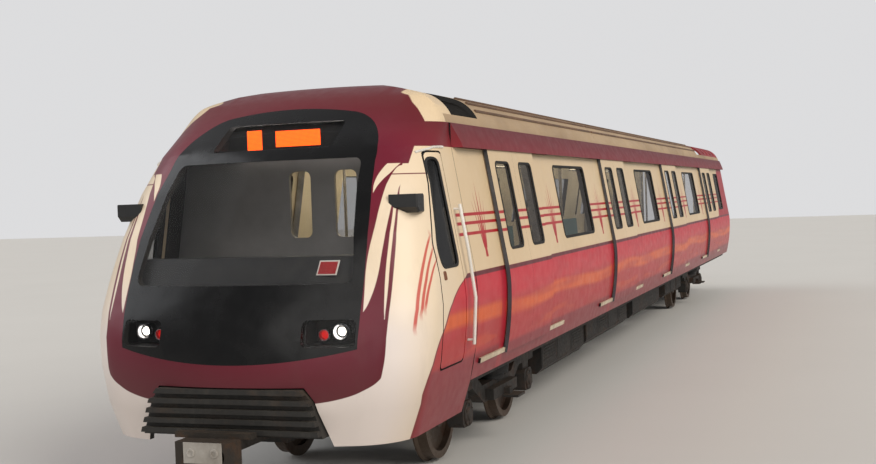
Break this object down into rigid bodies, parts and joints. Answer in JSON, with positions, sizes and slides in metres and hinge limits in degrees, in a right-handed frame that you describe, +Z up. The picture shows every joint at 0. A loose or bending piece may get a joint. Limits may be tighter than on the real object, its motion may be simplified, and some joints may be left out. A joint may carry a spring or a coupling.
{
  "type": "metro car",
  "caption": "Leading car of a metro train with a glazed cab, sliding side doors, two motor bogies, a front coupler and a rear gangway, in maroon, cream and orange.",
  "frame": {"origin": "on the car's centre line, midway between the front coupler's face and the rear coupler's flange, at the height of the wheel flanges' lowest points (28 mm below the rail heads)", "axes": "+X forward towards the cab, +Y to the car's left, +Z up"},
  "size_m": [23.25, 3.207, 3.6376],
  "materials": {
    "car_body": "gloss",
    "black_gloss": "gloss",
    "crimson_roof": "satin",
    "fairing_cream": "satin",
    "glass": "polished",
    "lamp_metal": "satin",
    "cab_door_paint": "gloss",
    "leaf_paint": "gloss",
    "track_black": "satin",
    "ac_grey": "satin",
    "underframe_steel": "matte",
    "floor_covering": "matte",
    "end_white": "satin",
    "bellows_rubber": "matte",
    "frame_aluminium": "satin",
    "bench_moulding": "satin",
    "ceiling_panel": "satin",
    "light_diffuser": "satin",
    "pole_steel": "brushed",
    "desk_plastic": "matte",
    "seat_fabric": "woven",
    "handrail_white": "gloss",
    "pod_plastic": "satin",
    "coupler_iron": "rough",
    "bogie_steel": "matte",
    "springing": "matte",
    "wheel_steel": "worn"
  },
  "bodies": {
    "car": {"cab_shell": "car_body", "side_walls": "car_body", "roof": "car_body", "front_mask": "black_gloss", "rear_roof_cowl": "crimson_roof", "roof_fairings": "fairing_cream", "windscreen": "glass", "side_windows": "glass", "front_lenses": "glass", "lamp_units": "lamp_metal", "sign_box": "lamp_metal", "door_tracks": "track_black", "air_conditioning_units": "ac_grey", "underframe": "underframe_steel", "anti_climber": "underframe_steel", "underfloor_equipment": "underframe_steel", "floor": "floor_covering", "end_wall": "end_white", "cab_partition": "end_white", "gangway_bellows": "bellows_rubber", "gangway_frame": "frame_aluminium", "seats": "bench_moulding", "saloon_ceiling": "ceiling_panel", "saloon_lights": "light_diffuser", "grab_poles": "pole_steel", "cab_desk": "desk_plastic", "driver_seat": "seat_fabric", "cab_handrails": "handrail_white", "camera_pods": "pod_plastic"},
    "leaf_left_1_front": {"door_leaf_left_1_front": "leaf_paint"},
    "leaf_left_1_rear": {"door_leaf_left_1_rear": "leaf_paint"},
    "leaf_left_2_front": {"door_leaf_left_2_front": "leaf_paint"},
    "leaf_left_2_rear": {"door_leaf_left_2_rear": "leaf_paint"},
    "leaf_left_3_front": {"door_leaf_left_3_front": "leaf_paint"},
    "leaf_left_3_rear": {"door_leaf_left_3_rear": "leaf_paint"},
    "leaf_left_4_front": {"door_leaf_left_4_front": "leaf_paint"},
    "leaf_left_4_rear": {"door_leaf_left_4_rear": "leaf_paint"},
    "leaf_right_1_front": {"door_leaf_right_1_front": "leaf_paint"},
    "leaf_right_1_rear": {"door_leaf_right_1_rear": "leaf_paint"},
    "leaf_right_2_front": {"door_leaf_right_2_front": "leaf_paint"},
    "leaf_right_2_rear": {"door_leaf_right_2_rear": "leaf_paint"},
    "leaf_right_3_front": {"door_leaf_right_3_front": "leaf_paint"},
    "leaf_right_3_rear": {"door_leaf_right_3_rear": "leaf_paint"},
    "leaf_right_4_front": {"door_leaf_right_4_front": "leaf_paint"},
    "leaf_right_4_rear": {"door_leaf_right_4_rear": "leaf_paint"},
    "cab_door_left": {"cab_door_left": "cab_door_paint"},
    "cab_door_right": {"cab_door_right": "cab_door_paint"},
    "front_coupler": {"front_coupler": "coupler_iron"},
    "rear_coupler": {"rear_coupler": "coupler_iron"},
    "front_bogie": {"bogie_frame_front": "bogie_steel", "bogie_springing_front": "springing", "motors_front": "bogie_steel"},
    "front_leading_wheelset": {"wheelset_front_leading": "wheel_steel"},
    "front_trailing_wheelset": {"wheelset_front_trailing": "wheel_steel"},
    "rear_bogie": {"bogie_frame_rear": "bogie_steel", "bogie_springing_rear": "springing", "motors_rear": "bogie_steel"},
    "rear_leading_wheelset": {"wheelset_rear_leading": "wheel_steel"},
    "rear_trailing_wheelset": {"wheelset_rear_trailing": "wheel_steel"}
  },
  "joints": [
    {"name": "front_bogie_yaw", "type": "hinge", "parent": "car", "child": "front_bogie", "pos_m": [7.48, 0, 0.6], "axis": [0, 0, 1], "range_deg": [-4, 4]},
    {"name": "front_leading_wheelset_roll", "type": "hinge", "parent": "front_bogie", "child": "front_leading_wheelset", "pos_m": [8.58, 0, 0.458], "axis": [0, 1, 0], "continuous": true},
    {"name": "front_trailing_wheelset_roll", "type": "hinge", "parent": "front_bogie", "child": "front_trailing_wheelset", "pos_m": [6.38, 0, 0.458], "axis": [0, 1, 0], "continuous": true},
    {"name": "rear_bogie_yaw", "type": "hinge", "parent": "car", "child": "rear_bogie", "pos_m": [-7.52, 0, 0.6], "axis": [0, 0, 1], "range_deg": [-4, 4]},
    {"name": "rear_leading_wheelset_roll", "type": "hinge", "parent": "rear_bogie", "child": "rear_leading_wheelset", "pos_m": [-6.42, 0, 0.458], "axis": [0, 1, 0], "continuous": true},
    {"name": "rear_trailing_wheelset_roll", "type": "hinge", "parent": "rear_bogie", "child": "rear_trailing_wheelset", "pos_m": [-8.62, 0, 0.458], "axis": [0, 1, 0], "continuous": true},
    {"name": "door_left_1_front_slide", "type": "slide", "parent": "car", "child": "leaf_left_1_front", "axis": [1, 0, 0], "range_m": [0, 0.73]},
    {"name": "door_left_1_rear_slide", "type": "slide", "parent": "car", "child": "leaf_left_1_rear", "axis": [-1, 0, 0], "range_m": [0, 0.73]},
    {"name": "door_left_2_front_slide", "type": "slide", "parent": "car", "child": "leaf_left_2_front", "axis": [1, 0, 0], "range_m": [0, 0.73]},
    {"name": "door_left_2_rear_slide", "type": "slide", "parent": "car", "child": "leaf_left_2_rear", "axis": [-1, 0, 0], "range_m": [0, 0.73]},
    {"name": "door_left_3_front_slide", "type": "slide", "parent": "car", "child": "leaf_left_3_front", "axis": [1, 0, 0], "range_m": [0, 0.73]},
    {"name": "door_left_3_rear_slide", "type": "slide", "parent": "car", "child": "leaf_left_3_rear", "axis": [-1, 0, 0], "range_m": [0, 0.73]},
    {"name": "door_left_4_front_slide", "type": "slide", "parent": "car", "child": "leaf_left_4_front", "axis": [1, 0, 0], "range_m": [0, 0.73]},
    {"name": "door_left_4_rear_slide", "type": "slide", "parent": "car", "child": "leaf_left_4_rear", "axis": [-1, 0, 0], "range_m": [0, 0.73]},
    {"name": "door_right_1_front_slide", "type": "slide", "parent": "car", "child": "leaf_right_1_front", "axis": [1, 0, 0], "range_m": [0, 0.73]},
    {"name": "door_right_1_rear_slide", "type": "slide", "parent": "car", "child": "leaf_right_1_rear", "axis": [-1, 0, 0], "range_m": [0, 0.73]},
    {"name": "door_right_2_front_slide", "type": "slide", "parent": "car", "child": "leaf_right_2_front", "axis": [1, 0, 0], "range_m": [0, 0.73]},
    {"name": "door_right_2_rear_slide", "type": "slide", "parent": "car", "child": "leaf_right_2_rear", "axis": [-1, 0, 0], "range_m": [0, 0.73]},
    {"name": "door_right_3_front_slide", "type": "slide", "parent": "car", "child": "leaf_right_3_front", "axis": [1, 0, 0], "range_m": [0, 0.73]},
    {"name": "door_right_3_rear_slide", "type": "slide", "parent": "car", "child": "leaf_right_3_rear", "axis": [-1, 0, 0], "range_m": [0, 0.73]},
    {"name": "door_right_4_front_slide", "type": "slide", "parent": "car", "child": "leaf_right_4_front", "axis": [1, 0, 0], "range_m": [0, 0.73]},
    {"name": "door_right_4_rear_slide", "type": "slide", "parent": "car", "child": "leaf_right_4_rear", "axis": [-1, 0, 0], "range_m": [0, 0.73]},
    {"name": "cab_door_left_swing", "type": "hinge", "parent": "car", "child": "cab_door_left", "pos_m": [9.808, 1.36786, 2.038], "axis": [0, 0.0792, -0.9969], "range_deg": [0, 80]},
    {"name": "cab_door_right_swing", "type": "hinge", "parent": "car", "child": "cab_door_right", "pos_m": [9.808, -1.36786, 2.038], "axis": [0, 0.0792, 0.9969], "range_deg": [0, 80]},
    {"name": "front_coupler_swing", "type": "hinge", "parent": "car", "child": "front_coupler", "pos_m": [10.38, 0, 0.658], "axis": [0, 0, 1], "range_deg": [-8, 8]},
    {"name": "rear_coupler_swing", "type": "hinge", "parent": "car", "child": "rear_coupler", "pos_m": [-10.75, 0, 0.658], "axis": [0, 0, 1], "range_deg": [-8, 8]}
  ],
  "couplings": [
    {"joint": "door_left_1_rear_slide", "follows": "door_left_1_front_slide", "ratio": 1},
    {"joint": "door_left_2_rear_slide", "follows": "door_left_2_front_slide", "ratio": 1},
    {"joint": "door_left_3_rear_slide", "follows": "door_left_3_front_slide", "ratio": 1},
    {"joint": "door_left_4_rear_slide", "follows": "door_left_4_front_slide", "ratio": 1},
    {"joint": "door_right_1_rear_slide", "follows": "door_right_1_front_slide", "ratio": 1},
    {"joint": "door_right_2_rear_slide", "follows": "door_right_2_front_slide", "ratio": 1},
    {"joint": "door_right_3_rear_slide", "follows": "door_right_3_front_slide", "ratio": 1},
    {"joint": "door_right_4_rear_slide", "follows": "door_right_4_front_slide", "ratio": 1}
  ]
}
